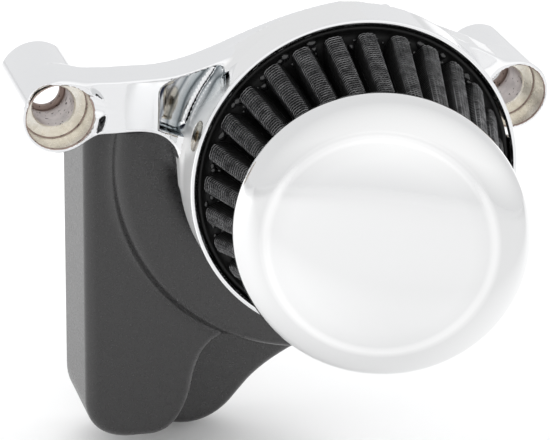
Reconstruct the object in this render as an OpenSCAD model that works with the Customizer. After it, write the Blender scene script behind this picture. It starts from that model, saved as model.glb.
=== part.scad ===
// Open-element air cleaner for a V-twin engine, in millimetres.
// +X runs from the left boss to the right one, +Y into the engine, +Z up.
// The origin is the centre of the throttle bore on the mounting plane, y = 0.

/* [Bosses] */
// Distance between the two breather bolts
boss_spacing = 197; // [190:1:205]
// X of the left boss, from the throttle bore
left_boss_x = -125.7; // [-128:0.1:-123]
// Height of both bosses above the throttle bore
boss_z = 28.3; // [26:0.1:30]
// Length of each boss, front face to mounting plane
boss_length = 47; // [45:1:50]
// Outer radius of each boss
boss_radius = 15.5; // [15:0.1:17]
// Radius of the pocket for the bolt head
counterbore_radius = 13.75; // [13:0.05:14]
// Depth of the pocket for the bolt head
counterbore_depth = 12; // [10:0.5:14]
// Radius of the breather chamber behind the bolt head
chamber_radius = 8.75; // [8:0.05:9.5]
// Radius of the hole that the bolt's shank goes through
bolt_hole_radius = 6.8; // [6.6:0.05:7.5]

/* [Cup] */
// Inner radius of the cup
cup_inner_radius = 66.8; // [66:0.1:68]
// Thickness of the cup's side wall
cup_wall = 2.6; // [2.4:0.1:3]
// Depth of the cup, rim to back face
cup_depth = 24; // [23:0.5:26]
// Lean of the cup's axis towards the left boss
cup_lean = 4.4; // [0:0.1:5]
// Upward tilt of the cup's axis
cup_pitch = 2.6; // [0:0.1:4]
// Radius of the holes for the retaining screws
retaining_hole_radius = 6.3; // [4:0.1:6.5]

/* [Filter] */
// Number of pleats
pleat_count = 28; // [24:1:32]
// Radius over the pleats at the base
pleat_tip_radius = 63.8; // [60:0.1:64.5]
// Radius over the pleats under the cap
pleat_top_radius = 49.5; // [48.5:0.5:50]
// Lean of the end cap's axis towards the left boss
cap_lean = 21.5; // [20:0.5:22]
// Upward tilt of the end cap's axis
cap_pitch = 3.5; // [3:0.1:4]
// Largest radius of the end cap
cap_radius = 57.8; // [57:0.1:58]
// Thickness of the end cap's shell
cap_wall = 1.6; // [1.4:0.1:2]

/* [Intake] */
// Radius of the throttle bore
intake_radius = 27.5; // [25:0.5:28]
// Pitch circle of the throttle screws
throttle_pcd = 76; // [74:1:80]
// Number of throttle screws
throttle_screw_count = 3; // [3:1:4]

/* [Throttle cover] */
// Radius of the raised round step, about the throttle bore
step_radius = 96; // [94:0.5:97]
// Wall thickness of the moulding
cover_wall = 2.5; // [2:0.1:3]
// How far the cover reaches behind the mounting plane
cover_back = 24; // [20:1:26]

/* [Hidden] */

$fn = 96;
round_fn = 180;
small_fn = 40;
cut = 0.5;                // how far a cutting tool runs past the face it opens

boss_xs = [left_boss_x, left_boss_x + boss_spacing];
lip_front = 30;           // depth of the bolt-hole lip behind the boss's front face
lip_thickness = 2;
recess_radius = 13;       // rear recess of each boss
notch_direction = -53;    // of the opening in the left boss's rear recess, from +X
notch_width = 17;
notch_length = 13;

plate_front = -46;        // front and back faces of the arms and the hub
plate_back = -29;
hub_radius = 62;
hub_front = -54;          // the cup's floor cuts it back
cup_centre = [-5.4, -69.7, 3.15];
cup_outer_radius = cup_inner_radius + cup_wall;
cup_floor = 3;
rim_chamfer = 0.6;
retaining_angle = 164.5;  // first of three retaining screws, about the cup's axis
retaining_depth = 7.4;    // below the rim
passage_radius = 2.5;     // cored breather passages in the arms
passage_y = -32.5;
passage_x = 28;           // where each passage turns into the cup

spacer_radius = 43;
gasket_thickness = 0.8;
spacer_front = plate_back + gasket_thickness;
screw_hole_radius = 3.3;
screw_radius = 3;
shank_radius = 2.6;       // inside the bracket and the spacer
thread_start = 0.2;       // behind the mounting plane
thread_end = 13;
head_radius = 5;
head_height = 6;
head_seat = -43;
groove_inner = 31;
groove_outer = 34.6;
groove_depth = 2.4;
o_ring_section = 1.6;

base_top = -2;            // below the cup's rim
base_bottom = -18;
base_radius = 66.4;
sleeve_outer = 44.5;
sleeve_wall = 1.2;
seal_thickness = 2.6;
valley_base = 47;         // radius of the pleat valleys, base and top
valley_top = 38.5;
sheet = 1.6;              // radial thickness of the folded media
screen_base = 43.2;
screen_top = 35.4;
screen_wall = 0.8;

cap_centre = [-12.8, -120.5, 6.4];
cap_rim_radius = 53.3;
cap_widest = 11;          // height of the cap's widest ring above its rear rim
crease_radius = 44.4;
crease_height = 22.4;
crown_height = 28.5;
potting_radius = 50.8;
potting_bottom = 1;
potting_top = 7;
potting_hole = 34;
plate_radius = 48;
plate_thickness = 1.5;
cap_screw_circle = 24;
cap_post_radius = 4.5;
cap_post_top = 26.3;      // inside the thickness of the cap's dome

cover_front = -20;        // front of the cover's left block
cover_raised = -28;       // front of its raised round step
cover_low = -2;           // front of its low lobe at the bottom
cover_top = 14;
cover_right = 10;
clearance_radius = 46;    // round the intake spacer
cover_screw_places = [[-95, 30], [-51.2, -18.6], [-14.1, -52.6]];
isolator_radius = 6;
cover_screw_radius = 2.4;

// Points of a cubic curve from p[0] to p[3].
function bezier(p, steps) = [for (i = [0:steps]) let (t = i / steps, u = 1 - t)
  u * u * u * p[0] + 3 * t * u * u * p[1] + 3 * t * t * u * p[2] + t * t * t * p[3]];

// Unit vectors and points of a tilted frame whose +Z points out of the cup, away from the engine.
function out_axis(lean, pitch) = [-sin(lean) * cos(pitch), -cos(lean) * cos(pitch), sin(pitch)];
function side_axis(lean) = [cos(lean), -sin(lean), 0];
function up_axis(lean, pitch) = [sin(lean) * sin(pitch), cos(lean) * sin(pitch), cos(pitch)];
function place(centre, lean, pitch, x, y, z) =
  centre + x * side_axis(lean) + y * up_axis(lean, pitch) + z * out_axis(lean, pitch);

module in_cup() translate(cup_centre) rotate([90 - cup_pitch, 0, -cup_lean]) children();
module in_cap() translate(cap_centre) rotate([90 - cap_pitch, 0, -cap_lean]) children();

// A child drawn in X and Z, extruded from y = front to y = back.
module slab(front, back)
  translate([0, back, 0]) rotate([90, 0, 0]) linear_extrude(height = back - front) children();

// A cylinder along Y from y = front to y = back.
module rod(x, z, front, back, r, fn = $fn)
  translate([x, back, z]) rotate([90, 0, 0]) cylinder(h = back - front, r = r, $fn = fn);

module tube(r_out, r_in, z0, z1) rotate_extrude($fn = round_fn)
  translate([r_in, z0]) square([r_out - r_in, z1 - z0]);

module torus(r, section) rotate_extrude($fn = round_fn) translate([r, 0]) circle(r = section, $fn = small_fn);

module at_throttle_screws() for (i = [0:throttle_screw_count - 1])
  rotate([0, 90 + i * 360 / throttle_screw_count, 0]) translate([throttle_pcd / 2, 0, 0]) children();

module at_retaining_screws() for (i = [0:2]) in_cup()
  rotate([0, 0, retaining_angle + 120 * i]) translate([0, 0, -retaining_depth]) rotate([0, 90, 0]) children();

module at_cap_screws() for (i = [0:2]) in_cap()
  rotate([0, 0, 90 + 120 * i]) translate([cap_screw_circle, 0, 0]) children();

// Outline of the left arm: an S-shaped top edge, and a lower edge that sweeps down into the cup.
module arm_outline() polygon(concat(
  [[left_boss_x, 43], [-112, 42.8], [-104, 42.6]],
  bezier([[-90, 42.9], [-62, 42.5], [-46, 61], [-5, 67.5]], 24),
  [[-5, 0], [-60, -14]],
  bezier([[-71, -6], [-73.5, 14], [-81, 19.7], [-95, 19.8]], 14),
  [[left_boss_x, 19.6]]));

// Front pocket between the left arm's flat face and the cup.
module arm_pocket_outline() polygon(concat(
  [[-83.6, 20.5], [-84.2, 36.5]],
  bezier([[-84.2, 36.5], [-84, 41.2], [-74, 42.6], [-56, 49]], 8),
  [[-45, 45], [-60, 12], [-72, 15.8]]));

module right_web_outline() polygon([[8, 50], [16, 64.2], [30, 59.3], [43.8, 53.8], [53.3, 50.2],
  [boss_xs[1], boss_z + 13], [boss_xs[1], boss_z - 13], [56, 10], [30, 0]]);

module boss_holes(x) {
  rod(x, boss_z, -boss_length - cut, -boss_length + counterbore_depth, counterbore_radius);
  rod(x, boss_z, -boss_length, -boss_length + lip_front, chamber_radius);
  rod(x, boss_z, -boss_length, 0, bolt_hole_radius);
  rod(x, boss_z, -boss_length + lip_front + lip_thickness, cut, recess_radius);
}

// The left boss's rear recess is open on its inner lower side.
module boss_notch() translate([left_boss_x, -notch_length / 2 + cut, boss_z]) rotate([0, -notch_direction, 0])
  translate([recess_radius, 0, 0]) cube([recess_radius, notch_length + cut, notch_width], center = true);

module breather_passage(x0, x1) {
  translate([min(x0, x1), passage_y, boss_z]) rotate([0, 90, 0])
    cylinder(h = abs(x1 - x0), r = passage_radius, $fn = small_fn);
  rod(x1, boss_z, plate_front - 8, passage_y, passage_radius, small_fn);
}

module bracket() color("gainsboro") difference() {
  union() {
    for (x = boss_xs) rod(x, boss_z, -boss_length, 0, boss_radius);
    difference() {
      slab(plate_front, plate_back) union() {
        arm_outline();
        right_web_outline();
      }
      slab(plate_front - cut, plate_front + 12) arm_pocket_outline();
    }
    rod(0, 0, hub_front, plate_back, hub_radius, round_fn);
    in_cup() tube(cup_outer_radius, cup_inner_radius, -cup_depth, 0);
    in_cup() translate([0, 0, -cup_depth]) cylinder(h = cup_floor, r = cup_inner_radius + 1, $fn = round_fn);
  }
  for (x = boss_xs) boss_holes(x);
  boss_notch();
  breather_passage(boss_xs[0], -passage_x);
  breather_passage(boss_xs[1], passage_x);
  in_cup() translate([0, 0, cup_floor - cup_depth]) cylinder(h = cup_depth, r = cup_inner_radius, $fn = round_fn);
  in_cup() translate([0, 0, -rim_chamfer])
    cylinder(h = rim_chamfer + 0.01, r1 = cup_inner_radius, r2 = cup_inner_radius + rim_chamfer, $fn = round_fn);
  rod(0, 0, plate_front - 12, plate_back + cut, intake_radius, round_fn);
  at_throttle_screws() rod(0, 0, plate_front - 12, plate_back + cut, screw_hole_radius, small_fn);
  at_throttle_screws() rod(0, 0, plate_front - 12, head_seat, head_radius + 0.6, small_fn);
  at_retaining_screws() translate([0, 0, cup_inner_radius - 1])
    cylinder(h = cup_wall + 2, r = retaining_hole_radius, $fn = small_fn);
  for (p = cover_screw_places) rod(p[0], p[1], -40, plate_back + cut, cover_screw_radius + 0.1, small_fn);
}

module intake_spacer() color("silver") difference() {
  rod(0, 0, spacer_front, 0, spacer_radius, round_fn);
  rod(0, 0, spacer_front - cut, cut, intake_radius, round_fn);
  at_throttle_screws() rod(0, 0, spacer_front - cut, cut, screw_hole_radius, small_fn);
  translate([0, 0.01, 0]) rotate([90, 0, 0]) tube(groove_outer, groove_inner, 0, groove_depth);
}

module spacer_gasket() color("dimgray") difference() {
  rod(0, 0, plate_back, spacer_front, spacer_radius, round_fn);
  rod(0, 0, plate_back - cut, spacer_front + cut, intake_radius, round_fn);
  at_throttle_screws() rod(0, 0, plate_back - cut, spacer_front + cut, screw_hole_radius, small_fn);
}

module throttle_o_ring() color("black") translate([0, -o_ring_section + 0.5, 0]) rotate([90, 0, 0])
  torus((groove_inner + groove_outer) / 2, o_ring_section);

module throttle_screws() color("silver") at_throttle_screws() difference() {
  union() {
    rod(0, 0, head_seat - head_height, head_seat, head_radius, small_fn);
    rod(0, 0, head_seat, thread_start, shank_radius, small_fn);
    rod(0, 0, thread_start, thread_end, screw_radius, small_fn);
  }
  rod(0, 0, head_seat - head_height - cut, head_seat - 2.5, 2.9, 6);
}

module boss_seal(x) color("black") translate([x, -boss_length + lip_front + lip_thickness + 1.3, boss_z])
  rotate([90, 0, 0]) torus(11.6, 1.3);

module left_boss_seal() boss_seal(boss_xs[0]);
module right_boss_seal() boss_seal(boss_xs[1]);

module retaining_screws() color("silver") at_retaining_screws() translate([0, 0, base_radius + 0.4]) difference() {
  cylinder(h = cup_wall - 0.3, r = retaining_hole_radius - 0.05, $fn = small_fn);
  translate([0, 0, 0.8]) cylinder(h = cup_wall, r = 2.6, $fn = 6);
}

module base_seal() color("black") in_cup() tube(base_radius - 2, sleeve_outer + 2, base_bottom - seal_thickness, base_bottom);

module filter_base() color([0.05, 0.05, 0.05]) in_cup() rotate_extrude($fn = round_fn) polygon([
  [sleeve_outer, base_bottom], [base_radius, base_bottom], [base_radius, base_top - 1],
  [base_radius - 1, base_top], [sleeve_outer, base_top]]);

module base_sleeve() color("silver") in_cup()
  tube(sleeve_outer, sleeve_outer - sleeve_wall, base_bottom, base_top);

// Height of the folded sheet between valley (0) and tip (1), over one pleat.
fold = [0, 0.04, 0.9, 1, 0.9, 0.04];
fold_at = [0, 0.16, 0.3, 0.5, 0.7, 0.84];
steps = pleat_count * len(fold);
function fold_angle(k) = (floor(k / len(fold)) + fold_at[k % len(fold)]) * 360 / pleat_count;
function pleat_ring(tip, valley, inset, top) = [for (k = [0:steps - 1])
  let (a = fold_angle(k), r = valley + (tip - valley) * fold[k % len(fold)] - inset)
  top ? place(cap_centre, cap_lean, cap_pitch, r * cos(a), r * sin(a), potting_bottom)
      : place(cup_centre, cup_lean, cup_pitch, r * cos(a), r * sin(a), base_top)];

// A closed tube between two pairs of rings: outer base, outer top, inner top, inner base.
module lofted_tube(rings) {
  n = len(rings[0]);
  polyhedron(points = concat(rings[0], rings[1], rings[2], rings[3]), faces = [for (band = [0:3], k = [0:n - 1])
    let (a = band * n, b = (band + 1) % 4 * n, j = (k + 1) % n)
    each [[a + k, b + k, b + j], [a + k, b + j, a + j]]]);
}

module pleated_media() color([0.08, 0.08, 0.08]) lofted_tube([
  pleat_ring(pleat_tip_radius, valley_base, 0, false), pleat_ring(pleat_top_radius, valley_top, 0, true),
  pleat_ring(pleat_top_radius, valley_top, sheet, true), pleat_ring(pleat_tip_radius, valley_base, sheet, false)]);

function plain_ring(r, top) = [for (k = [0:59]) let (a = k * 6)
  top ? place(cap_centre, cap_lean, cap_pitch, r * cos(a), r * sin(a), potting_bottom)
      : place(cup_centre, cup_lean, cup_pitch, r * cos(a), r * sin(a), base_top)];

module support_screen() color("gray") lofted_tube([plain_ring(screen_base, false), plain_ring(screen_top, true),
  plain_ring(screen_top - screen_wall, true), plain_ring(screen_base - screen_wall, false)]);

module top_potting() color([0.05, 0.05, 0.05]) in_cap() tube(potting_radius, potting_hole, potting_bottom, potting_top);

module top_plate() color("silver") difference() {
  in_cap() translate([0, 0, potting_top]) cylinder(h = plate_thickness, r = plate_radius, $fn = round_fn);
  at_cap_screws() translate([0, 0, potting_top - cut]) cylinder(h = plate_thickness + 1, r = 2.3, $fn = small_fn);
}

module cap_washers() color("silver") at_cap_screws() translate([0, 0, potting_top - 0.8]) difference() {
  cylinder(h = 0.8, r = 4.5, $fn = small_fn);
  translate([0, 0, -cut]) cylinder(h = 2, r = 2.2, $fn = small_fn);
}

module cap_screws() color("silver") at_cap_screws() difference() {
  union() {
    translate([0, 0, potting_top - 3.8]) cylinder(h = 3, r = 3.8, $fn = small_fn);
    translate([0, 0, potting_top - 0.9]) cylinder(h = 8, r = 2, $fn = small_fn);
  }
  translate([0, 0, potting_top - 4.3]) cylinder(h = 2, r = 1.7, $fn = 6);
}

// Profile of the end cap, from its rear rim to the centre of its dome, inset by i for the inside of its wall.
function cap_profile(i) = concat(
  [[cap_rim_radius - i, 0]],
  bezier([[cap_rim_radius + 1 - i, 1], [cap_radius - 1 - i, 4], [cap_radius - i, 7], [cap_radius - i, cap_widest]], 6),
  bezier([[cap_radius - i, cap_widest + 1.5 - i * 0.5], [cap_radius - 1 - i, cap_widest + 6 - i * 0.5],
    [crease_radius + 6 - i * 0.5, crease_height - 1.5 - i], [crease_radius, crease_height - i]], 8),
  bezier([[crease_radius, crease_height - i], [32, crease_height + 4.2 - i], [16, crown_height - i],
    [0, crown_height - i]], 10));

module end_cap() color("whitesmoke") difference() {
  union() {
    in_cap() rotate_extrude($fn = round_fn) polygon(concat(cap_profile(0),
      [for (i = [len(cap_profile(0)) - 1:-1:0]) cap_profile(cap_wall)[i]]));
    at_cap_screws() translate([0, 0, potting_top + plate_thickness])
      cylinder(h = cap_post_top - potting_top - plate_thickness, r = cap_post_radius, $fn = small_fn);
  }
  at_cap_screws() translate([0, 0, potting_top]) cylinder(h = 9, r = 2.05, $fn = small_fn);
}

// Outlines of the cover, each drawn inset by i for the inside of the wall.
module block_outline(i) polygon(concat(
  [[-107.8 + i, cover_top - i], [-107.8 + i, 0]],
  bezier([[-101.4 + i, -118], [-100.8 + i, -132 + i * 0.6], [-92 + i * 0.6, -138 + i], [-80, -138 + i]], 8),
  bezier([[-72, -138 + i], [-62 - i * 0.7, -138 + i], [-57 - i, -130], [-54 - i, -117]], 6),
  bezier([[-53.5 - i, -113], [-52 - i, -102], [-50 - i * 0.7, -92 + i], [-36, -89]], 6),
  [[-36, cover_top - i]]));

module step_outline(i) intersection() {
  circle(r = step_radius - i, $fn = round_fn);
  translate([-step_radius, -step_radius]) square([step_radius + cover_right - i, step_radius + cover_top - i]);
}

// A flat lug behind the left arm, on a shelf along the block's top edge.
module cover_lug() {
  slab(cover_raised, cover_raised + cover_wall) translate([-106, cover_top - 2]) square([22, 26]);
  slab(cover_raised, cover_front + cover_wall) translate([-106, cover_top - 2]) square([22, 2]);
}

module low_outline(i) polygon(concat(
  [[-66 + i, -100], [-66 + i, -134]],
  bezier([[-60 + i, -142 + i], [-48, -147 + i], [-35, -143 + i], [-27 - i * 0.5, -131 + i]], 8),
  bezier([[-22 - i * 0.5, -124.5 + i], [-14, -115 + i], [-2, -109 + i], [cover_right - i, -103 + i]], 6),
  [[cover_right - i, -80]]));

module cover_solid(i, front_wall, back) {
  slab(cover_front + front_wall, back) block_outline(i);
  slab(cover_raised + front_wall, back) step_outline(i);
  slab(cover_low + front_wall, back) low_outline(i);
}

module throttle_cover() color([0.22, 0.21, 0.22]) difference() {
  union() {
    cover_solid(0, 0, cover_back);
    cover_lug();
  }
  difference() {
    cover_solid(cover_wall, cover_wall, cover_back + cut);
    rod(0, 0, cover_raised - cut, cover_back + 1, clearance_radius + cover_wall, round_fn);
  }
  rod(0, 0, cover_raised - cut, cover_back + 1, clearance_radius, round_fn);
  for (p = cover_screw_places) rod(p[0], p[1], cover_raised - cut, cover_front, 2.7, small_fn);
}

module cover_isolators() color("black") for (p = cover_screw_places) difference() {
  rod(p[0], p[1], plate_back, cover_raised, isolator_radius, small_fn);
  rod(p[0], p[1], plate_back - cut, cover_raised + cut, 2.7, small_fn);
}

module cover_washers() color("silver") for (p = cover_screw_places) difference() {
  rod(p[0], p[1], cover_raised + cover_wall, cover_raised + cover_wall + 1, 5.2, small_fn);
  rod(p[0], p[1], cover_raised, cover_front, 2.7, small_fn);
}

module cover_screws() color("silver") for (p = cover_screw_places) difference() {
  union() {
    rod(p[0], p[1], cover_raised + cover_wall + 1, cover_raised + cover_wall + 4, 4.4, small_fn);
    rod(p[0], p[1], -39, cover_raised + cover_wall + 1, cover_screw_radius, small_fn);
  }
  rod(p[0], p[1], cover_raised + cover_wall + 2, cover_raised + cover_wall + 5, 2, 6);
}

bracket();
intake_spacer();
spacer_gasket();
throttle_o_ring();
throttle_screws();
left_boss_seal();
right_boss_seal();
retaining_screws();
base_seal();
filter_base();
base_sleeve();
pleated_media();
support_screen();
top_potting();
top_plate();
cap_washers();
cap_screws();
end_cap();
cover_isolators();
throttle_cover();
cover_washers();
cover_screws();
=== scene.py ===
import math
import random

import bpy
import numpy as np
from mathutils import Matrix, Vector


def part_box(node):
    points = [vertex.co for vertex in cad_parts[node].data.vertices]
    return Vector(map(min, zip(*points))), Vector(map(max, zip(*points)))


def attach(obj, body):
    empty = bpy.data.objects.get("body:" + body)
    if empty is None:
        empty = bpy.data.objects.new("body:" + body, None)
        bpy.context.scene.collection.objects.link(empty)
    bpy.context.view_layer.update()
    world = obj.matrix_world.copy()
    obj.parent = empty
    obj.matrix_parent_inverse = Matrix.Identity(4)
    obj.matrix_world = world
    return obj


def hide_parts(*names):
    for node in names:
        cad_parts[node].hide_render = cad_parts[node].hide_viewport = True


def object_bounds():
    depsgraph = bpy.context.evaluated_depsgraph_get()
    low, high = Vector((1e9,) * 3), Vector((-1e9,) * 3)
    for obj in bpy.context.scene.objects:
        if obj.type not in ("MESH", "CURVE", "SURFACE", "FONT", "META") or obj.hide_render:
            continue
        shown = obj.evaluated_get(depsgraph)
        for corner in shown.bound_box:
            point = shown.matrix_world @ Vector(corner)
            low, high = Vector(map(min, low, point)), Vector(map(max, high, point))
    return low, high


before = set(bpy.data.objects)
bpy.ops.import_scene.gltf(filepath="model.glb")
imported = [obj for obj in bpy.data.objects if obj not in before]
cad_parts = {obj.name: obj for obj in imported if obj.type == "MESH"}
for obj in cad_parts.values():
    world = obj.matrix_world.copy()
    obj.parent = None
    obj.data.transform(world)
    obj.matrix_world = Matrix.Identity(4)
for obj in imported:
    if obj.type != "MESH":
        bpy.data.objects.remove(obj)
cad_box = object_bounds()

# Shapes are in millimetres in the CAD frame: the throttle bore at the origin, +Z up, +Y into the engine.
MM = 0.001


# ---------------------------------------------------------------- frames

def axes(lean, pitch):
    """Side, up and outward unit vectors of a round part that leans left and tilts up by these degrees."""
    a, p = math.radians(lean), math.radians(pitch)
    side = (math.cos(a), -math.sin(a), 0)
    up = (math.sin(a) * math.sin(p), math.cos(a) * math.sin(p), math.cos(p))
    out = (-math.sin(a) * math.cos(p), -math.cos(a) * math.cos(p), math.sin(p))
    return np.array([side, up, out])


class Frame:
    """A tilted frame: its origin, and side, up and outward axes."""

    def __init__(self, centre, lean, pitch):
        self.centre = np.array(centre, float)
        self.axes = axes(lean, pitch)

    def place(self, local):
        return self.centre + np.asarray(local, float) @ self.axes

    def local(self, x, y, z):
        dx, dy, dz = x - self.centre[0], y - self.centre[1], z - self.centre[2]
        return [dx * v[0] + dy * v[1] + dz * v[2] for v in self.axes]


def centre_mm(node):
    low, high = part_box(node)
    return (low + high) / 2 / MM


LEFT_X = centre_mm("left_boss_seal").x
RIGHT_X = centre_mm("right_boss_seal").x
BOSS_Z = centre_mm("left_boss_seal").z
BOSS_LENGTH = 47.0
BOSS_RADIUS = 15.5
COUNTERBORE = 13.75
COUNTERBORE_DEPTH = 12.0
CHAMBER = 8.75
LIP_DEPTH = 30.0
LIP_THICKNESS = 2.0
BOLT_HOLE = 6.8
RECESS = 13.0
NOTCH_DIRECTION = -53.0
NOTCH_WIDTH = 17.0
NOTCH_LENGTH = 13.0
BORE_ALLOWANCE = 0.3          # the chrome skin stops this far outside the machined bores
NOTCH_START = 4.0             # from the boss's axis

CUP = Frame((-5.4, -69.7, 3.15), 4.4, 2.6)
CUP_INNER = 66.8
CUP_OUTER = 69.4
CUP_DEPTH = 24.0
CUP_FLOOR = 3.0
RIM_HEIGHT = 0.95             # turned rim, a piece of its own
RETAINING_ANGLES = (164.5, 284.5, 44.5)
RETAINING_DEPTH = 7.4
RETAINING_RADIUS = 6.3

CAP = Frame((-12.8, -120.5, 6.4), 21.5, 3.5)

PLATE_FRONT = -46.0
PLATE_BACK = -29.0
THROTTLE_RADIUS = 27.5
THROTTLE_CIRCLE = 38.0
THROTTLE_SCREW_HOLE = 3.3
SCREW_HEAD_HOLE = 5.6
SCREW_HEAD_SEAT = -43.0
COVER_SCREW_HOLE = 2.5
COVER_SCREWS = ((-95.0, 30.0), (-51.2, -18.6), (-14.1, -52.6))


# ---------------------------------------------------------------- curves and distance fields

def bezier(points, steps):
    """Points of a cubic curve."""
    t = np.linspace(0, 1, steps + 1)[:, None]
    p = np.array(points, float)
    u = 1 - t
    return u ** 3 * p[0] + 3 * t * u * u * p[1] + 3 * t * t * u * p[2] + t ** 3 * p[3]


def smooth_min(a, b, k):
    h = np.clip(0.5 + 0.5 * (b - a) / k, 0, 1)
    return b + (a - b) * h - k * h * (1 - h)


def smooth_max(a, b, k):
    return -smooth_min(-a, -b, k)


def outline_distance(outline, x, z):
    """Signed distance to a closed outline drawn in X and Z, negative inside."""
    best = np.full(x.shape, 1e9)
    inside = np.zeros(x.shape, bool)
    for (x0, z0), (x1, z1) in zip(outline, np.roll(outline, -1, axis=0)):
        ex, ez = x1 - x0, z1 - z0
        length = ex * ex + ez * ez
        if not length:
            continue
        wx, wz = x - x0, z - z0
        t = np.clip((wx * ex + wz * ez) / length, 0, 1)
        best = np.minimum(best, (wx - ex * t) ** 2 + (wz - ez * t) ** 2)
        if ez:
            inside ^= ((z0 > z) != (z1 > z)) & (wx < ex * wz / ez)
    return np.where(inside, -1, 1) * np.sqrt(best)


def slab(flat, y, front, back, r):
    """A flat shape's distance, extruded from front to back with edges rounded by r."""
    a = flat + r
    b = np.maximum(front - y, y - back) + r
    return np.minimum(np.maximum(a, b), 0) + np.hypot(np.maximum(a, 0), np.maximum(b, 0)) - r


def rod(x, y, z, cx, cz, front, back, radius, r=0.0):
    return slab(np.hypot(x - cx, z - cz) - radius, y, front, back, r)


# ---------------------------------------------------------------- meshes

def surface(distance, low, high, cell):
    """Vertices, quads and normals of the zero surface of a distance field inside a box (surface nets)."""
    axis = [np.arange(a, b + cell, cell) for a, b in zip(low, high)]
    step = 4
    coarse_axis = [a[::step] for a in axis]
    coarse = distance(*np.meshgrid(*coarse_axis, indexing="ij"))
    near = [np.minimum(np.round(np.arange(len(a)) / step).astype(int), len(c) - 1)
            for a, c in zip(axis, coarse_axis)]
    field = coarse[np.ix_(*near)]
    i, j, k = np.nonzero(np.abs(field) < step * cell + 2)
    field[i, j, k] = distance(axis[0][i], axis[1][j], axis[2][k])

    solid = field < 0
    corners = [(a, b, c) for a in (0, 1) for b in (0, 1) for c in (0, 1)]
    n = [s - 1 for s in solid.shape]

    def corner(array, offset):
        return array[offset[0]:offset[0] + n[0], offset[1]:offset[1] + n[1], offset[2]:offset[2] + n[2]]

    count = sum(corner(solid, o).astype(np.uint8) for o in corners)
    cells = np.argwhere((count > 0) & (count < 8))
    number = np.full(n, -1, np.int32)
    number[tuple(cells.T)] = np.arange(len(cells))

    total = np.zeros((len(cells), 3))
    hits = np.zeros(len(cells))
    for a in corners:
        for d in range(3):
            if a[d]:
                continue
            b = tuple(v + (m == d) for m, v in enumerate(a))
            fa = field[tuple((cells + a).T)]
            fb = field[tuple((cells + b).T)]
            cut = (fa < 0) != (fb < 0)
            t = fa[cut] / (fa[cut] - fb[cut])
            point = cells[cut] + np.array(a, float)
            point[:, d] += t
            total[cut] += point
            hits[cut] += 1
    points = np.array([a[0] for a in axis]) + cell * total / hits[:, None]

    quads = []
    for d in range(3):
        e, f = (d + 1) % 3, (d + 2) % 3
        first = np.moveaxis(solid, (d, e, f), (0, 1, 2))
        ids = np.moveaxis(number, (d, e, f), (0, 1, 2))
        change = first[:-1, 1:-1, 1:-1] != first[1:, 1:-1, 1:-1]
        a, b, c = np.nonzero(change)
        quad = np.stack([ids[a, b, c], ids[a, b + 1, c], ids[a, b + 1, c + 1], ids[a, b, c + 1]], 1)
        inward = first[a, b + 1, c + 1]
        quads.append(np.where(inward[:, None], quad, quad[:, ::-1]))
    quads = np.concatenate(quads)

    def slope(p, h):
        parts = [distance(*(p + h * np.eye(3)[m]).T) - distance(*(p - h * np.eye(3)[m]).T) for m in range(3)]
        return np.stack(parts, 1) / (2 * h)

    for _ in range(3):
        g = slope(points, 0.05)
        move = distance(*points.T)[:, None] * g / np.maximum((g * g).sum(1), 0.2)[:, None]
        points -= np.clip(move, -0.5 * cell, 0.5 * cell)
    normals = slope(points, 0.2)
    normals /= np.maximum(np.linalg.norm(normals, axis=1), 1e-6)[:, None]
    return points, quads, normals


def new_piece(name, points, faces, body, material, normals=None, sharp=35):
    """Makes an object from points in millimetres, and rides it on a CAD body."""
    mesh = bpy.data.meshes.new(name)
    mesh.from_pydata((np.asarray(points) * MM).tolist(), [], [list(map(int, f)) for f in faces])
    mesh.validate()
    mesh.shade_smooth()
    if normals is None:
        mesh.set_sharp_from_angle(angle=math.radians(sharp))
    else:
        mesh.normals_split_custom_set_from_vertices(normals.tolist())
    mesh.materials.append(material)
    piece = bpy.data.objects.new(name, mesh)
    bpy.context.scene.collection.objects.link(piece)
    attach(piece, body)
    return piece


def lathe(profile, place, segments=256, closed=False):
    """Turns (radius, height) points round a frame's outward axis. Height runs outward."""
    profile = np.array(profile, float)
    angle = np.arange(segments) * 2 * math.pi / segments
    ring = np.stack([np.cos(angle), np.sin(angle)], 1)
    points = []
    for r, h in profile:
        points.append(np.column_stack([ring * r, np.full(segments, h)]))
    points = place(np.concatenate(points))
    faces = []
    rows = len(profile)
    for row in range(rows if closed else rows - 1):
        a, b = row * segments, (row + 1) % rows * segments
        for s in range(segments):
            t = (s + 1) % segments
            faces.append((a + s, a + t, b + t, b + s))
    return points, faces


def join(parts):
    """Points and faces of several parts in one mesh."""
    points, faces, start = [], [], 0
    for p, f in parts:
        points.append(np.asarray(p))
        faces.extend([tuple(i + start for i in face) for face in f])
        start += len(p)
    return np.concatenate(points), faces


# ---------------------------------------------------------------- materials

def shader(name, **values):
    """A material with one Principled shader. Returns the material, its node tree and the shader."""
    material = bpy.data.materials.new(name)
    material.use_nodes = True
    tree = material.node_tree
    principled = tree.nodes["Principled BSDF"]
    for key, value in values.items():
        principled.inputs[key.replace("_", " ")].default_value = value
    return material, tree, principled


def coordinates(tree, stretch=(1, 1, 1)):
    place = tree.nodes.new("ShaderNodeTexCoord")
    mapping = tree.nodes.new("ShaderNodeMapping")
    mapping.inputs["Scale"].default_value = stretch
    tree.links.new(place.outputs["Object"], mapping.inputs["Vector"])
    return mapping.outputs["Vector"]


def noise(tree, scale, detail=3, stretch=(1, 1, 1)):
    texture = tree.nodes.new("ShaderNodeTexNoise")
    texture.inputs["Scale"].default_value = scale
    texture.inputs["Detail"].default_value = detail
    tree.links.new(coordinates(tree, stretch), texture.inputs["Vector"])
    return texture.outputs["Fac"]


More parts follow.
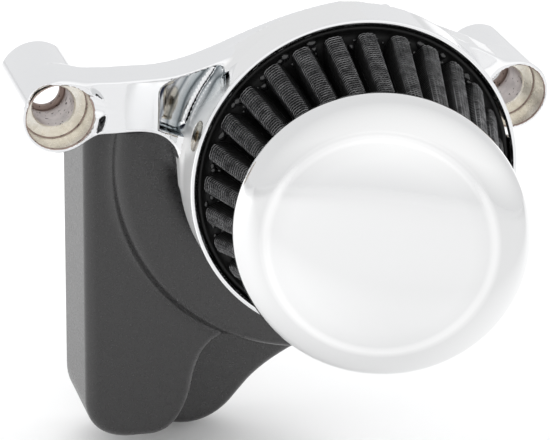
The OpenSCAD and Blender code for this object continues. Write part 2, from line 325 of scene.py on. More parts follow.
def ramp(tree, source, *stops):
    """Colours a value: stops are (position, grey or colour)."""
    node = tree.nodes.new("ShaderNodeValToRGB")
    elements = node.color_ramp.elements
    while len(elements) < len(stops):
        elements.new(0.5)
    for element, (position, colour) in zip(elements, stops):
        element.position = position
        colour = (colour,) * 3 if isinstance(colour, (int, float)) else colour
        element.color = (*colour, 1)
    tree.links.new(source, node.inputs["Fac"])
    return node.outputs["Color"]


def feed(tree, principled, socket, source, *stops):
    """Drives one socket of the shader through a ramp."""
    tree.links.new(ramp(tree, source, *stops), principled.inputs[socket])


def bump(tree, principled, source, strength, distance_mm):
    node = tree.nodes.new("ShaderNodeBump")
    node.inputs["Strength"].default_value = strength
    node.inputs["Distance"].default_value = distance_mm * MM
    tree.links.new(source, node.inputs["Height"])
    tree.links.new(node.outputs["Normal"], principled.inputs["Normal"])


def chrome(name, dark, light):
    material, tree, principled = shader(name, Metallic=1.0)
    feed(tree, principled, "Base Color", noise(tree, 9, 2), (0.3, dark), (0.7, light))
    feed(tree, principled, "Roughness", noise(tree, 60, 4), (0.35, 0.035), (0.75, 0.075))
    bump(tree, principled, noise(tree, 140, 2), 0.04, 0.05)
    return material


def frame_coordinates(tree, place):
    """Object coordinates in metres in a tilted frame: X and Y across its axis, Z along it."""
    source = tree.nodes.new("ShaderNodeTexCoord")
    mapping = tree.nodes.new("ShaderNodeMapping")
    mapping.vector_type = "TEXTURE"
    mapping.inputs["Location"].default_value = place.centre * MM
    mapping.inputs["Rotation"].default_value = Matrix(place.axes.tolist()).transposed().to_euler()
    tree.links.new(source.outputs["Object"], mapping.inputs["Vector"])
    return mapping.outputs["Vector"]


def math_node(tree, operation, a, b):
    node = tree.nodes.new("ShaderNodeMath")
    node.operation = operation
    for socket, value in zip(node.inputs, (a, b)):
        if isinstance(value, (int, float)):
            socket.default_value = value
        else:
            tree.links.new(value, socket)
    return node.outputs[0]


def radius_fraction(tree, place, low, high, wander=0.0, scale=100):
    """0 at one radius from a frame's axis and 1 at another, in millimetres, with some noise in between."""
    flat = tree.nodes.new("ShaderNodeVectorMath")
    flat.operation = "MULTIPLY"
    flat.inputs[1].default_value = (1, 1, 0)
    tree.links.new(frame_coordinates(tree, place), flat.inputs[0])
    length = tree.nodes.new("ShaderNodeVectorMath")
    length.operation = "LENGTH"
    tree.links.new(flat.outputs[0], length.inputs[0])
    part = math_node(tree, "DIVIDE", math_node(tree, "SUBTRACT", length.outputs["Value"], low * MM),
                     (high - low) * MM)
    if not wander:
        return part
    drift = math_node(tree, "MULTIPLY", math_node(tree, "SUBTRACT", noise(tree, scale, 1), 0.5), wander)
    return math_node(tree, "ADD", part, drift)


def cap_painted_highlight_chrome():
    """Mirror chrome with a painted highlight along the crease round the dome and painted shade on the
    shoulder outside it.
    """
    material, tree, principled = shader("cap_painted_highlight_chrome", Metallic=1.0)
    # base colour by radius: painted highlight at the crease, painted shade on the shoulder
    feed(tree, principled, "Base Color", radius_fraction(tree, CAP, 36, 52),
         (0.0, (0.93, 0.932, 0.933)), (0.36, (0.895, 0.897, 0.898)), (0.47, 0.99), (0.54, 1.0),
         (0.68, (0.83, 0.832, 0.833)), (1.0, (0.84, 0.842, 0.843)))
    feed(tree, principled, "Roughness", noise(tree, 40, 3), (0.35, 0.07), (0.7, 0.10))
    return material


def pocket_painted_reflections():
    """Chrome in the hollow beside the cup, with painted reflections as dark and light streaks and painted
    shade on its side away from the cup.
    """
    material, tree, principled = shader("pocket_painted_reflections", Metallic=1.0)
    # base colour by distance from the cup: painted reflections in streaks, then painted shade far from the
    # cup
    feed(tree, principled, "Base Color", radius_fraction(tree, CUP, CUP_OUTER, CUP_OUTER + 20, 0.16, 55),
         (0.00, (0.80, 0.82, 0.84)), (0.10, (0.50, 0.53, 0.55)), (0.17, (0.10, 0.12, 0.13)),
         (0.22, (0.48, 0.52, 0.54)), (0.34, (0.74, 0.77, 0.78)), (0.40, (0.22, 0.25, 0.27)),
         (0.44, (0.55, 0.58, 0.60)), (0.52, (0.80, 0.82, 0.83)), (0.58, (0.30, 0.32, 0.36)),
         (0.63, (0.70, 0.72, 0.74)), (0.69, (0.78, 0.8, 0.81)), (0.74, (0.035, 0.04, 0.07)),
         (1.00, (0.03, 0.035, 0.06)))
    feed(tree, principled, "Roughness", noise(tree, 60, 3), (0.35, 0.06), (0.7, 0.12))
    bump(tree, principled, noise(tree, 180, 2), 0.15, 0.1)
    return material


def wall_painted_light():
    """The cup's outside, painted light grey and satin in a band where it faces the arm, a painted light
    reflection in place of mirror chrome, and fading to a mirror lower down.
    """
    material, tree, principled = shader("wall_painted_light")
    split = tree.nodes.new("ShaderNodeSeparateXYZ")
    tree.links.new(frame_coordinates(tree, CUP), split.inputs["Vector"])
    slant = math_node(tree, "MULTIPLY", split.outputs["Z"], 0.8)
    height = math_node(tree, "SUBTRACT", split.outputs["Y"], slant)
    height = math_node(tree, "ADD", math_node(tree, "MULTIPLY", height, 10), 0.4)
    # painted light: a light grey satin band in place of the mirror
    feed(tree, principled, "Metallic", height, (0.13, 1.0), (0.17, 0.2), (0.65, 0.15), (0.9, 1.0))
    feed(tree, principled, "Roughness", height, (0.13, 0.06), (0.2, 0.25), (0.65, 0.25), (0.9, 0.06))
    feed(tree, principled, "Base Color", height, (0.13, 0.84), (0.2, 0.74), (0.65, 0.72), (0.9, 0.9))
    return material


def nickel(name, dark, light, roughness, stretch=(1, 0.04, 1)):
    """Bare machined metal with turning marks round the bore and streaks along it."""
    material, tree, principled = shader(name, Metallic=1.0)
    feed(tree, principled, "Base Color", noise(tree, 330, 3, stretch), (0.34, dark), (0.60, light))
    feed(tree, principled, "Roughness", noise(tree, 900, 3), (0.3, roughness - 0.06), (0.7, roughness + 0.06))
    bump(tree, principled, noise(tree, 1500, 2, (0.05, 1, 0.05)), 0.12, 0.05)
    return material


def cast_wall(name, base, speck):
    """Rough cast inside of a bore, with dark specks and pits."""
    material, tree, principled = shader(name, Metallic=0.35, Roughness=0.4)
    mottled = ramp(tree, noise(tree, 220, 5), (0.3, [c * 0.8 for c in base]), (0.6, base))
    spots = ramp(tree, noise(tree, 620, 2), (0.33, 1.0), (0.36, 0.0))
    mix = tree.nodes.new("ShaderNodeMix")
    mix.data_type = "RGBA"
    tree.links.new(spots, mix.inputs["Factor"])
    tree.links.new(mottled, mix.inputs[6])
    mix.inputs[7].default_value = (*speck, 1)
    tree.links.new(mix.outputs[2], principled.inputs["Base Color"])
    bump(tree, principled, noise(tree, 500, 4), 0.5, 0.15)
    return material


def plain_metal(name, dark, light, roughness):
    material, tree, principled = shader(name, Metallic=1.0)
    feed(tree, principled, "Base Color", noise(tree, 300, 4), (0.3, dark), (0.7, light))
    feed(tree, principled, "Roughness", noise(tree, 700, 3), (0.3, roughness - 0.05), (0.7, roughness + 0.05))
    bump(tree, principled, noise(tree, 1200, 3), 0.1, 0.03)
    return material


def dull(name, dark, light, roughness, grain_scale, grain_strength, grain_mm, **values):
    """Plastic, rubber, paper or cloth: mottled colour and a fine grain."""
    material, tree, principled = shader(name, **values)
    feed(tree, principled, "Base Color", noise(tree, grain_scale / 6, 4), (0.3, dark), (0.7, light))
    feed(tree, principled, "Roughness", noise(tree, grain_scale / 3, 3),
         (0.3, roughness - 0.06), (0.7, roughness + 0.06))
    bump(tree, principled, noise(tree, grain_scale, 3), grain_strength, grain_mm)
    return material


CHROME = chrome("chrome_plate", (0.89, 0.895, 0.905), (0.94, 0.943, 0.95))
CAP_PAINTED_HIGHLIGHT_CHROME = cap_painted_highlight_chrome()
POCKET_PAINTED_REFLECTIONS = pocket_painted_reflections()
WALL_PAINTED_LIGHT = wall_painted_light()
BORE_METAL = nickel("machined_bore", (0.78, 0.74, 0.66), (0.90, 0.87, 0.80), 0.3)
CAST_METAL = cast_wall("cast_bore_wall", (0.95, 0.90, 0.89), (0.06, 0.035, 0.03))
# dark brown on the counterbore's front edge, the corner at its floor and the lip round the bolt hole
DARK_BROWN_METAL = cast_wall("dark_brown_edge", (0.42, 0.32, 0.28), (0.02, 0.012, 0.01))
SCREW_METAL = nickel("nickel_screw", (0.10, 0.075, 0.05), (0.74, 0.68, 0.58), 0.22, (1, 1, 0.05))
TURNED = plain_metal("turned_aluminium", (0.62, 0.62, 0.63), (0.76, 0.76, 0.77), 0.3)
ZINC = plain_metal("plated_steel", (0.5, 0.47, 0.42), (0.68, 0.66, 0.61), 0.28)
PLASTIC = dull("satin_plastic", (0.016, 0.0155, 0.016), (0.018, 0.017, 0.0175), 0.30, 3600, 0.02, 0.008,
               IOR=1.65)
RUBBER = dull("black_rubber", (0.016, 0.016, 0.016), (0.028, 0.028, 0.028), 0.55, 1500, 0.2, 0.04)
GASKET = dull("gasket_fibre", (0.10, 0.09, 0.08), (0.22, 0.20, 0.18), 0.85, 1800, 0.5, 0.06)
POTTING = dull("glossy_potting", (0.004, 0.004, 0.004), (0.012, 0.012, 0.013), 0.14, 160, 0.35, 0.4,
               Coat_Weight=0.5, Coat_Roughness=0.05)
DULL_POTTING = dull("moulded_base", (0.003, 0.003, 0.003), (0.008, 0.008, 0.008), 0.45, 900, 0.3, 0.1,
                    Specular_IOR_Level=0.3)
MEDIA = dull("oiled_cotton", (0.001, 0.001, 0.001), (0.003, 0.003, 0.003), 0.8, 1400, 0.6, 0.12,
             Specular_IOR_Level=0.25)
WIRE = plain_metal("black_wire", (0.06, 0.06, 0.062), (0.32, 0.32, 0.325), 0.34)


# ---------------------------------------------------------------- bracket

ARM_OUTLINE = np.concatenate([
    [[LEFT_X, 43], [-112, 42.8], [-104, 42.6]],
    bezier([[-90, 42.9], [-62, 42.5], [-46, 61], [-5, 67.5]], 24),
    [[3, 67.2], [10, 65.9], [16, 64.2], [8, 0], [-60, -14]],
    bezier([[-71, -6], [-73.5, 14], [-81, 19.7], [-95, 19.8]], 14),
    [[LEFT_X, 19.6]]])
POCKET_OUTLINE = np.concatenate([
    [[-83.6, 20.5], [-84.2, 36.5]],
    bezier([[-84.2, 36.5], [-84, 41.2], [-74, 42.6], [-56, 49]], 8),
    [[-45, 45], [-60, 12], [-72, 15.8]]])
WEB_OUTLINE = np.array([[8, 50], [16, 64.2], [30, 59.3], [43.8, 53.8], [53.3, 50.2],
                        [RIGHT_X, BOSS_Z + 13], [RIGHT_X, BOSS_Z - 13], [56, 10], [30, 0]], float)
HUB_RADIUS = 62.0
HUB_FRONT = -54.0
BLEND = 5.0                   # fillet where cast shapes meet
POCKET_FLOOR = -37.0
ARM_STEP_X = -86.0            # left of here the arm's face rises to the boss's
ARM_STEP_LENGTH = 16.0
BORE_SEGMENTS = 192
BRACKET_CELL = 0.8            # grid on which its surface is worked out
BRACKET_MARGIN = 2.1          # of that grid, round the CAD node's box


def notch_distance(x, y, z):
    """The opening in the left boss's rear recess, on its inner lower side."""
    a = math.radians(NOTCH_DIRECTION)
    along = (x - LEFT_X) * math.cos(a) + (z - BOSS_Z) * math.sin(a)
    across = (z - BOSS_Z) * math.cos(a) - (x - LEFT_X) * math.sin(a)
    return np.maximum(np.maximum(NOTCH_START - along, np.abs(across) - NOTCH_WIDTH / 2), -NOTCH_LENGTH - y)


def bracket_distance(x, y, z):
    bosses = np.minimum(rod(x, y, z, LEFT_X, BOSS_Z, -BOSS_LENGTH, 0, BOSS_RADIUS, 0.7),
                        rod(x, y, z, RIGHT_X, BOSS_Z, -BOSS_LENGTH, 0, BOSS_RADIUS, 0.7))
    front = PLATE_FRONT - np.clip((ARM_STEP_X - x) / ARM_STEP_LENGTH, 0, 1) * (BOSS_LENGTH + PLATE_FRONT)
    arm = slab(outline_distance(ARM_OUTLINE, x, z), y, front, PLATE_BACK, 1.2)
    pocket = outline_distance(POCKET_OUTLINE, x, z)
    pocket = smooth_max(pocket, y - POCKET_FLOOR, 5.0)
    arm = smooth_max(arm, -pocket, 1.0)
    web = slab(outline_distance(WEB_OUTLINE, x, z), y, PLATE_FRONT, PLATE_BACK, 1.5)
    hub = rod(x, y, z, 0, 0, HUB_FRONT, PLATE_BACK, HUB_RADIUS, 1.0)
    u, v, w = CUP.local(x, y, z)
    rho = np.hypot(u, v)
    cup = slab(rho - CUP_OUTER, w, -CUP_DEPTH, -RIM_HEIGHT, 0.02)
    body = smooth_min(smooth_min(arm, cup, BLEND), hub, 3.0)
    body = smooth_min(smooth_min(body, web, BLEND), bosses, BLEND)
    body = np.maximum(body, w + RIM_HEIGHT)
    body = smooth_max(body, -slab(rho - CUP_INNER, w, CUP_FLOOR - CUP_DEPTH, 5, 1.0), 0.1)
    for x0 in (LEFT_X, RIGHT_X):
        bore = np.hypot(x - x0, z - BOSS_Z)
        body = smooth_max(body, COUNTERBORE + BORE_ALLOWANCE - bore, 0.25)
    body = smooth_max(body, -notch_distance(x, y, z), 0.6)
    ahead = HUB_FRONT - 9         # where cutters start, clear of the metal
    body = smooth_max(body, -rod(x, y, z, 0, 0, ahead, 9, THROTTLE_RADIUS), 0.6)
    for i in range(3):
        a = math.radians(-90 - 120 * i)
        sx, sz = THROTTLE_CIRCLE * math.cos(a), -THROTTLE_CIRCLE * math.sin(a)
        body = smooth_max(body, -rod(x, y, z, sx, sz, ahead, 9, THROTTLE_SCREW_HOLE), 0.3)
        body = smooth_max(body, -rod(x, y, z, sx, sz, ahead, SCREW_HEAD_SEAT, SCREW_HEAD_HOLE), 0.3)
    for sx, sz in COVER_SCREWS:
        body = smooth_max(body, -rod(x, y, z, sx, sz, -40, 9, COVER_SCREW_HOLE), 0.3)
    for degrees in RETAINING_ANGLES:
        a = math.radians(degrees)
        across = -u * math.sin(a) + v * math.cos(a)
        along = u * math.cos(a) + v * math.sin(a)
        hole = np.hypot(across, w + RETAINING_DEPTH) - RETAINING_RADIUS
        body = smooth_max(body, -np.maximum(hole, 50 - along), 0.4)
    return body


def make_bracket():
    """The chrome casting, with one material of painted reflections and painted shade in its pocket and one of
    painted light on the cup's outside.
    """
    low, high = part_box("bracket")
    points, quads, normals = surface(bracket_distance, np.array(low) / MM - BRACKET_MARGIN,
                                     np.array(high) / MM + BRACKET_MARGIN, BRACKET_CELL)
    body = new_piece("bracket_casting", points, quads, "housing", CHROME, normals)
    body.data.materials.append(POCKET_PAINTED_REFLECTIONS)
    body.data.materials.append(WALL_PAINTED_LIGHT)
    middle = points[quads].mean(1)
    u, v, w = CUP.local(*middle.T)
    rho = np.hypot(u, v)
    wall_end = CUP_OUTER + 1.8
    # faces in the pocket take the painted reflections and painted shade
    inside = outline_distance(POCKET_OUTLINE, middle[:, 0], middle[:, 2]) < 0.6
    inside &= (middle[:, 1] < PLATE_BACK - 2) & (middle[:, 1] > PLATE_FRONT + 0.4) & (rho > wall_end)
    # faces on the cup's outside towards the arm take the band of painted light
    wall = (rho > CUP_OUTER - 0.3) & (rho < wall_end) & (w > -CUP_DEPTH) & (u < 0)
    material = np.where(inside, 1, np.where(wall, 2, 0)).astype(np.int32)
    body.data.polygons.foreach_set("material_index", material)
    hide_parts("bracket")


def along_y(x, z):
    """Places a lathe's local points on an axis that points out of the engine, from the mounting plane."""
    def place(local):
        local = np.asarray(local, float)
        return np.column_stack([x + local[:, 0], -local[:, 2], z + local[:, 1]])
    return place


def make_bore(side, x):
    """The machined inside of a boss: pocket for the bolt's head, chamber, lip and rear recess."""
    front = BOSS_LENGTH
    floor = front - COUNTERBORE_DEPTH
    lip = front - LIP_DEPTH
    pocket = [(COUNTERBORE, front - 1.1), (COUNTERBORE, floor + 0.45), (COUNTERBORE - 0.2, floor + 0.4),
              (COUNTERBORE - 0.2, floor), (CHAMBER + 0.5, floor), (CHAMBER, floor - 0.5)]
    place = along_y(x, BOSS_Z)

    def turned(name, parts, material):
        points, faces = join([lathe(part, place, BORE_SEGMENTS) for part in parts])
        new_piece(f"{side}_{name}", points, faces, "housing", material)

    turned("bolt_head_pocket", [pocket], BORE_METAL)
    edge = [(COUNTERBORE + BORE_ALLOWANCE + 0.35, front - 0.25), (COUNTERBORE + 0.1, front - 0.35),
            (COUNTERBORE, front - 0.5), (COUNTERBORE, front - 1.1)]
    seam = [(COUNTERBORE - 0.02, floor + 0.5), (COUNTERBORE - 0.25, floor + 0.42),
            (COUNTERBORE - 0.5, floor + 0.02)]
    turned("pocket_edges", [edge, seam], DARK_BROWN_METAL)
    chamber = [(CHAMBER, floor - 0.5), (CHAMBER, floor - 6), (CHAMBER, lip + 1.2)]
    turned("chamber_wall", [chamber], CAST_METAL)
    rough = [(CHAMBER, lip + 1.2), (CHAMBER, lip + 0.6), (CHAMBER - 0.35, lip + 0.1), (BOLT_HOLE + 0.5, lip),
             (BOLT_HOLE, lip - 0.3), (BOLT_HOLE, lip - LIP_THICKNESS)]
    turned("bolt_hole_lip", [rough], DARK_BROWN_METAL)
    back = [(BOLT_HOLE, lip - LIP_THICKNESS), (RECESS, lip - LIP_THICKNESS), (RECESS, NOTCH_LENGTH),
            *[(RECESS, h) for h in np.linspace(NOTCH_LENGTH - 0.5, 0.02, 12)],    # rows for the notch to cut
            (COUNTERBORE + BORE_ALLOWANCE + 0.6, 0.02)]
    points, faces = lathe(back, place, BORE_SEGMENTS)
    if side == "left":
        faces = [f for f in faces if notch_distance(*points[list(f)].mean(0)) > -0.2]
    new_piece(f"{side}_rear_recess", points, faces, "housing", TURNED)


def make_rim():
    """The turned edge of the cup, with a fine step inside its lip."""
    profile = [(CUP_OUTER, -RIM_HEIGHT - 0.05), (CUP_OUTER, -0.7), (CUP_OUTER - 0.2, -0.2),
               (CUP_OUTER - 0.65, 0), (CUP_INNER + 0.95, 0), (CUP_INNER + 0.7, -0.12),
               (CUP_INNER + 0.55, -0.5), (CUP_INNER + 0.2, -0.62), (CUP_INNER, -RIM_HEIGHT - 0.05)]
    points, faces = lathe(profile, CUP.place, 512)
    new_piece("cup_rim", points, faces, "housing", CHROME, sharp=50)


# ---------------------------------------------------------------- filter

PLEATS = 28
TIP_BASE = 63.8
TIP_TOP = 49.5
VALLEY_BASE = 47.0
VALLEY_TOP = 38.5
BASE_TOP = -2.0
POTTING_BOTTOM = 1.0
TONGUE = 0.93                 # how far out a pleat's end starts where it enters the potting
ROUNDING = 0.045              # share of the pleat's length over which that end rounds off
PLEAT_HALF_WIDTH = 0.86       # of half a pleat's spacing
FLANK_START = 0.81            # where the rounded tip gives way to the straight flank
FLANK_HEIGHT = math.sqrt(1 - (FLANK_START / PLEAT_HALF_WIDTH) ** 4)


def pleat_shape(t):
    """How far a pleat stands out, 0 in the valley and 1 on its tip, over one pleat (t from -1 to 1)."""
    t = np.abs(t)
    dome = np.sqrt(np.clip(1 - (t / PLEAT_HALF_WIDTH) ** 4, 0, 1))
    return np.where(t < FLANK_START, dome, np.clip((1 - t) / (1 - FLANK_START), 0, 1) * FLANK_HEIGHT)


def end_factor(v):
    """How far out the pleats stand at v, as a share: their ends round off where they enter the potting."""
    return TONGUE + (1 - TONGUE) * np.sqrt(1 - (1 - np.minimum(v / ROUNDING, 1)) ** 2)


def pleat_point(angle, out, v, lift=0.0):
    """A point on the pleats: angle round the axis, out from valley 0 to tip 1, v from base 0 to cap 1."""
    base_r = VALLEY_BASE + (TIP_BASE - VALLEY_BASE) * out + lift
    top_r = VALLEY_TOP + (TIP_TOP - VALLEY_TOP) * out + lift
    ring = np.column_stack([np.cos(angle), np.sin(angle)])
    low = CUP.place(np.column_stack([ring * base_r[:, None], np.full(len(angle), BASE_TOP)]))
    high = CAP.place(np.column_stack([ring * top_r[:, None], np.full(len(angle), POTTING_BOTTOM)]))
    v = np.asarray(v, float).reshape(-1, 1)
    return low * (1 - v) + high * v


def make_media():
    """The folded cloth, as one sheet round the axis with 20 points across each pleat."""
    t = np.linspace(-1, 1, 20, endpoint=False)
    rows = []
    vs = np.concatenate([[0, 0.012, 0.03, 0.055, 0.09], np.linspace(0.13, 1, 21)])
    shape = np.tile(pleat_shape(t), PLEATS)
    angle = np.concatenate([(p + t / 2) * 2 * math.pi / PLEATS for p in range(PLEATS)])
    for v in vs:
        rows.append(pleat_point(angle, shape * end_factor(v), np.full(len(angle), v)))
    n = len(angle)
    points = np.concatenate(rows)
    faces = [(r * n + i, r * n + (i + 1) % n, (r + 1) * n + (i + 1) % n, (r + 1) * n + i)
             for r in range(len(vs) - 1) for i in range(n)]
    media = new_piece("pleated_media_cloth", points, faces, "filter", MEDIA, sharp=80)
    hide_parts("pleated_media")


def wires(paths, width, height):
    """Thin three-sided wires along paths. Each path is (points, outward directions)."""
    parts = []
    for line, out in paths:
        line, out = np.asarray(line), np.asarray(out)
        ahead = np.gradient(line, axis=0)
        side = np.cross(ahead, out)
        side /= np.linalg.norm(side, axis=1)[:, None]
        ring = np.stack([line + side * width / 2, line + out * height, line - side * width / 2], 1)
        n = len(line)
        faces = [(i + a, i + a + 1, i + a + 4, i + a + 3) for i in range(0, 3 * n - 3, 3) for a in (0, 1)]
        parts.append((ring.reshape(-1, 3), faces))
    return join(parts)


def make_wire_cloth():
    """Woven wire over the outer part of each pleat: lengthwise wires, and cross wires over them."""
    reach = 0.79                  # of half a pleat's spacing, to each side of its tip
    lengthwise_count = 8
    pitch = 1.45                  # of the cross wires
    clear = 0.05                  # above the cloth
    weave = 0.14                  # how far a cross wire rises and falls
    steps = 16
    turn = 2 * math.pi / PLEATS
    lengthwise, across = [], []
    v = np.linspace(0.02, 0.995, steps)
    for p in range(PLEATS):
        for t in np.linspace(-reach, reach, lengthwise_count):
            angle = np.full(steps, (p + t / 2) * turn)
            out = pleat_shape(np.full(steps, t)) * end_factor(v)
            line = pleat_point(angle, out, v, clear)
            radial = pleat_point(angle, out, v, 1 + clear) - line
            radial /= np.linalg.norm(radial, axis=1)[:, None]
            lengthwise.append((line, radial))
    fine = np.linspace(-reach - 0.02, reach + 0.02, steps - 1)
    number = np.arange(len(fine))
    for p in range(PLEATS):
        ends = pleat_point(np.full(2, p * turn), np.ones(2), np.array([0.0, 1.0]))
        rows = int(np.linalg.norm(ends[1] - ends[0]) / pitch)
        angle = (p + fine / 2) * turn
        for r in range(1, rows):
            v = np.full(len(fine), r / rows)
            out = pleat_shape(fine) * end_factor(v)
            lift = clear + weave * (number % 2 == r % 2)
            base = pleat_point(angle, out, v)
            radial = pleat_point(angle, out, v, 1.0) - base
            radial /= np.linalg.norm(radial, axis=1)[:, None]
            across.append((base + radial * lift[:, None], radial))
    points, faces = join([wires(lengthwise, 0.36, 0.36), wires(across, 0.3, 0.2)])
    new_piece("wire_cloth", points, faces, "filter", WIRE, sharp=60)


def make_base_ring():
    """The moulded base that the pleats are set in, with blobs of compound between their ends."""
    profile = [(44.5, -18), (65.4, -18), (66.3, -17.2), (66.4, -3.4), (66.1, -2.4), (65.3, BASE_TOP),
               (64.4, -2.3), (63.6, -3.1), (61.5, -2.6), (58.0, -2.4), (50.0, -2.6), (44.6, -2.4),
               (44.5, -3.2)]
    points, faces = lathe(profile, CUP.place, 320, closed=True)
    parts = [(points, faces)]
    dice = random.Random(7)
    for p in range(PLEATS):
        for _ in range(4):
            angle = (p + 0.5 + dice.uniform(-0.22, 0.22)) * 2 * math.pi / PLEATS
            radius = dice.uniform(56.5, 63.0)
            size = dice.uniform(0.7, 1.9)
            parts.append(blob(angle, radius, size, dice))
    ring_faces = len(faces)
    points, faces = join(parts)
    ring = new_piece("filter_base_ring", points, faces, "filter", POTTING, sharp=70)
    ring.data.materials.append(DULL_POTTING)
    ring.data.polygons.foreach_set("material_index", [int(n < ring_faces) for n in range(len(faces))])
    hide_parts("filter_base")


def blob(angle, radius, size, dice):
    """A lump of potting compound, wider than it is high."""
    rings, around = 6, 12
    squash = dice.uniform(0.5, 0.9)
    stretch = dice.uniform(0.8, 1.4)
    points, faces = [], []
    for i in range(rings):
        a = math.pi / 2 * i / (rings - 1)
        for j in range(around):
            b = 2 * math.pi * j / around
            wobble = 1 + 0.15 * math.sin(3 * b + size * 7)
            points.append((size * math.cos(a) * math.cos(b) * wobble,
                           size * stretch * math.cos(a) * math.sin(b), size * squash * math.sin(a)))
    for i in range(rings - 1):
        for j in range(around):
            k = (j + 1) % around
            below, above = i * around, (i + 1) * around
            faces.append((below + j, below + k, above + k, above + j))
    points = np.array(points)
    c, s = math.cos(angle), math.sin(angle)
    turned = np.column_stack([c * points[:, 0] - s * points[:, 1] + radius * c,
                              s * points[:, 0] + c * points[:, 1] + radius * s,
                              points[:, 2] + BASE_TOP - 0.6])
    return CUP.place(turned), faces


# ---------------------------------------------------------------- end cap

CAP_RIM = 53.3
CAP_RADIUS = 57.8
CAP_WIDEST = 11.0
CREASE_RADIUS = 44.4
CREASE_HEIGHT = 22.2
CROWN_HEIGHT = 28.3
CAP_WALL = 1.6


def cap_profile(inset, steps):
    """The cap's section from its rear rim to its centre, with a soft crease round its dome."""
    i = inset
    skirt = bezier([[CAP_RIM + 1 - i, 1], [CAP_RADIUS - 1 - i, 4], [CAP_RADIUS - i, 7],
                    [CAP_RADIUS - i, CAP_WIDEST]], steps)
    shoulder = bezier([[CAP_RADIUS - i, CAP_WIDEST + 1.5 - i * 0.5],
                       [CAP_RADIUS - 1 - i, CAP_WIDEST + 6 - i * 0.5],
                       [CREASE_RADIUS + 6 - i * 0.5, CREASE_HEIGHT - 1.5 - i],
                       [CREASE_RADIUS + 1.2, CREASE_HEIGHT - 0.15 - i]], steps)
    dome = bezier([[CREASE_RADIUS - 0.6, CREASE_HEIGHT + 0.1 - i], [32, CREASE_HEIGHT + 4.2 - i],
                   [16, CROWN_HEIGHT - i], [0.001, CROWN_HEIGHT - i]], 2 * steps)
    return np.concatenate([[[CAP_RIM - i, 0.3], [CAP_RIM + 0.3 - i, 0]], skirt, shoulder, dome])


def make_cap():
    outside = cap_profile(0, 20)
    inside = cap_profile(CAP_WALL, 6)
    profile = np.concatenate([outside[::-1], inside])
    points, faces = lathe(profile, CAP.place, 360)
    cap = new_piece("domed_end_cap", points, faces, "filter", CAP_PAINTED_HIGHLIGHT_CHROME, sharp=40)
    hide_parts("end_cap")


# ---------------------------------------------------------------- throttle cover

BLOCK_OUTLINE = np.concatenate([
    [[-107.8, 14], [-107.8, 0]],
    bezier([[-101.4, -118], [-100.8, -132], [-92, -138], [-80, -138]], 14),
    bezier([[-72, -138], [-62, -138], [-57, -130], [-54, -117]], 10),
    bezier([[-53.5, -113], [-52, -102], [-50, -92], [-36, -89]], 10),
    [[-36, 14]]])
LOW_OUTLINE = np.concatenate([
    [[-66, -100], [-66, -134]],
    bezier([[-60, -142], [-48, -147], [-35, -143], [-27, -131]], 14),
    bezier([[-22, -124.5], [-14, -115], [-2, -109], [10, -103]], 10),
    [[10, -80]]])
STEP_RADIUS = 96.0
COVER_BACK = 24.0
COVER_WALL = 2.5
COVER_TOP = 14.0
COVER_RIGHT = 10.0
CLEARANCE = 46.0              # radius round the intake spacer
LUG_X = -95.0                 # flat lug for the top screw, and the shelf that carries it
LUG_HALF_WIDTH = 11.0
COVER_FILLET = 5.0
COVER_CELL = 0.9
COVER_MARGIN = 2.2


def cover_solid(x, y, z, inset, back, r):
    block = slab(outline_distance(BLOCK_OUTLINE, x, z) + inset, y, -20 + inset, back, r)
    step = np.maximum(np.hypot(x, z) - STEP_RADIUS, np.maximum(z - COVER_TOP, x - COVER_RIGHT)) + inset
    step = slab(step, y, -28 + inset, back, r)
    low = slab(outline_distance(LOW_OUTLINE, x, z) + inset, y, -2 + inset, back, r)
    return smooth_min(smooth_min(block, step, 6.0), low, 2.0)


def cover_distance(x, y, z):
    ring = np.hypot(x, z)
    inner = np.maximum(cover_solid(x, y, z, COVER_WALL, COVER_BACK + 9, 1.5), CLEARANCE + COVER_WALL - ring)
    shell = smooth_max(cover_solid(x, y, z, 0, COVER_BACK, COVER_FILLET), -inner, 0.3)
    beside = np.abs(x - LUG_X) - LUG_HALF_WIDTH
    lug = slab(np.maximum(beside, np.abs(z - 25) - 13), y, -28, -25.5, 0.6)
    shelf = slab(np.maximum(beside, np.abs(z - 13) - 1.2), y, -28, -17.5, 0.4)
    shell = np.minimum(shell, np.minimum(lug, shelf))
    shell = smooth_max(shell, CLEARANCE - ring, 0.6)
    for sx, sz in COVER_SCREWS:
        shell = smooth_max(shell, 2.7 - np.hypot(x - sx, z - sz) + np.maximum(y + 20, 0), 0.3)
    return shell


def make_cover():
    low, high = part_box("throttle_cover")
    points, quads, normals = surface(cover_distance, np.array(low) / MM - COVER_MARGIN,
                                     np.array(high) / MM + COVER_MARGIN, COVER_CELL)
    cover = new_piece("throttle_cover_moulding", points, quads, "housing", PLASTIC, normals)
    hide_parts("throttle_cover")


# ---------------------------------------------------------------- build

make_bracket()
make_bore("left", LEFT_X)
make_bore("right", RIGHT_X)
make_rim()
make_media()
make_wire_cloth()
make_base_ring()
make_cap()
make_cover()

FINISH = {
    "intake_spacer": TURNED, "spacer_gasket": GASKET, "throttle_o_ring": RUBBER, "throttle_screws": ZINC,
    "left_boss_seal": RUBBER, "right_boss_seal": RUBBER, "retaining_screws": SCREW_METAL,
    "base_seal": RUBBER, "base_sleeve": ZINC, "support_screen": ZINC, "top_potting": POTTING,
    "top_plate": ZINC, "cap_washers": ZINC, "cap_screws": ZINC, "cover_isolators": RUBBER,
    "cover_washers": ZINC, "cover_screws": ZINC}
for node, material in FINISH.items():
    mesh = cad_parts[node].data
    mesh.materials.clear()
    mesh.materials.append(material)


# ---------------------------------------------------------------- camera, floor and light

CAMERA_PLACE = (-0.3588, -0.98072, 0.41845)
CAMERA_AZIMUTH = 19.321
CAMERA_ELEVATION = 24.036
CAMERA_ROLL = 4.581
LENS = 168.97


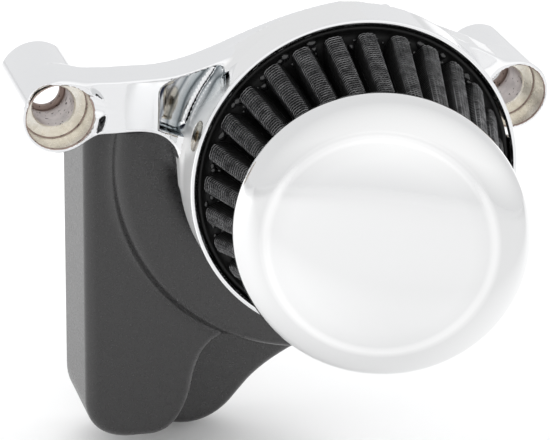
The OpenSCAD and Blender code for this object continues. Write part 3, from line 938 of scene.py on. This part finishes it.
def make_camera():
    a, e, r = (math.radians(v) for v in (CAMERA_AZIMUTH, CAMERA_ELEVATION, CAMERA_ROLL))
    forward = Vector((math.sin(a) * math.cos(e), math.cos(a) * math.cos(e), -math.sin(e)))
    level = Vector((math.cos(a), -math.sin(a), 0))
    upright = level.cross(forward)
    right = math.cos(r) * level + math.sin(r) * upright
    up = right.cross(forward)
    turn = Matrix((right, up, -forward)).transposed()
    data = bpy.data.cameras.new("photo_view")
    data.sensor_width = 36
    data.lens = LENS
    camera = bpy.data.objects.new("photo_view", data)
    bpy.context.scene.collection.objects.link(camera)
    camera.matrix_world = Matrix.Translation(CAMERA_PLACE) @ turn.to_4x4()
    bpy.context.scene.camera = camera


def area_light(name, place, target, size, power):
    data = bpy.data.lights.new(name, "AREA")
    data.shape = "DISK"
    data.size = size
    data.energy = power
    light = bpy.data.objects.new(name, data)
    light.location = place
    light.rotation_euler = (Vector(target) - Vector(place)).to_track_quat("-Z", "Y").to_euler()
    light.visible_glossy = False
    bpy.context.scene.collection.objects.link(light)


def make_floor():
    """A pale floor, slightly greyer in front of the object and far behind it."""
    drop = 0.004
    z = cad_box[0][2] - drop
    size = 80.0
    mesh = bpy.data.meshes.new("floor")
    corners = [(-size, -size, z), (size, -size, z), (size, size, z), (-size, size, z)]
    mesh.from_pydata(corners, [], [(0, 1, 2, 3)])
    material, tree, principled = shader("pale_floor", Roughness=0.9, Specular_IOR_Level=0.0,
                                        Emission_Color=(1, 1, 1, 1), Emission_Strength=0.02)
    split = tree.nodes.new("ShaderNodeSeparateXYZ")
    tree.links.new(coordinates(tree), split.inputs["Vector"])
    depth = math_node(tree, "ADD", math_node(tree, "MULTIPLY", split.outputs["Y"], 0.125), 0.5)
    depth = math_node(tree, "ADD", depth, math_node(tree, "MULTIPLY", noise(tree, 3, 2), 0.002))
    feed(tree, principled, "Base Color", depth, (0.1, 0.96), (0.36, 0.84), (0.45, 0.79), (0.4825, 0.96),
         (0.61, 0.96), (0.68, 0.78), (0.9, 0.82))
    mesh.materials.append(material)
    floor = bpy.data.objects.new("floor", mesh)
    bpy.context.scene.collection.objects.link(floor)


def make_world():
    """An even studio dome, a little brighter high up behind the camera."""
    world = bpy.data.worlds.new("studio")
    world.use_nodes = True
    tree = world.node_tree
    direction = tree.nodes.new("ShaderNodeTexCoord")
    split = tree.nodes.new("ShaderNodeSeparateXYZ")
    tree.links.new(direction.outputs["Generated"], split.inputs["Vector"])
    above = math_node(tree, "MULTIPLY", split.outputs["Z"], 2.8)
    above.node.use_clamp = True
    ahead = math_node(tree, "MULTIPLY", split.outputs["Y"], -1.1)
    ahead.node.use_clamp = True
    sky = ramp(tree, math_node(tree, "MULTIPLY", above, ahead), (0.0, (0.835, 0.838, 0.844)), (1.0, 1.12))
    tree.links.new(sky, tree.nodes["Background"].inputs["Color"])
    tree.nodes["Background"].inputs["Strength"].default_value = 1.0
    bpy.context.scene.world = world


make_camera()
make_floor()
area_light("key", (-1.8, -0.6, 1.6), (0, 0, 0), 1.6, 8)
area_light("fill", (1.8, -1.2, 1.4), (0, 0, 0), 1.6, 3)
area_light("back", (0.2, 2.0, 1.8), (0, 0.5, 0), 2.0, 24)
area_light("left", (-1.6, 0.5, 0.2), (0, 0, 0), 1.2, 3)
make_world()
bpy.context.scene.view_settings.view_transform = "Standard"
